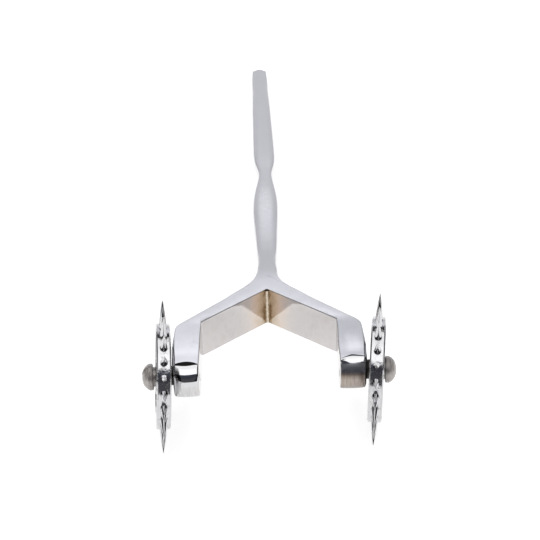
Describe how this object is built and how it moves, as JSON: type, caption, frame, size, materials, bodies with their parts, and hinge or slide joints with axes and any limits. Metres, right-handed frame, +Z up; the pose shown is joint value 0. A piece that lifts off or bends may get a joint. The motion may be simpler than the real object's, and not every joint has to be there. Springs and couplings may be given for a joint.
{
  "type": "double pinwheel",
  "caption": "Hand-held double pinwheel: flat shaped handle, wide welded fork, and a free-running pin-studded wheel held outside each fork tip by a slotted screw.",
  "frame": {"origin": "on the surface the tool rests on, centred below its bounding box", "axes": "+Z up; +Y from the fork back along the handle; +X across the fork, to the right of a viewer who looks along the handle from the wheels"},
  "size_m": [0.0468, 0.192, 0.028],
  "materials": {
    "chrome_bar": "polished chrome over forged steel, satin in places",
    "chrome_wheel": "bright chrome",
    "pin_steel": "polished turned steel",
    "screw_steel": "dull turned nickel-plated steel",
    "weld_steel": "straw and brown heat tint"
  },
  "bodies": {
    "tool": {"handle": "chrome_bar", "left_arm": "chrome_bar", "right_arm": "chrome_bar", "neck_weld": "chrome_bar", "inner_weld": "weld_steel", "left_screw": "screw_steel", "right_screw": "screw_steel"},
    "left_wheel": {"left_wheel_disc": "chrome_wheel", "left_pins": "pin_steel"},
    "right_wheel": {"right_wheel_disc": "chrome_wheel", "right_pins": "pin_steel"}
  },
  "joints": [
    {"name": "left_wheel_spin", "type": "hinge", "parent": "tool", "child": "left_wheel", "pos_m": [-0.01973, -0.08243, 0.01401], "axis": [0.9923, 0.0867, -0.0881], "continuous": true},
    {"name": "right_wheel_spin", "type": "hinge", "parent": "tool", "child": "right_wheel", "pos_m": [0.01977, -0.08243, 0.01401], "axis": [0.9905, -0.1374, -0.0054], "continuous": true}
  ]
}
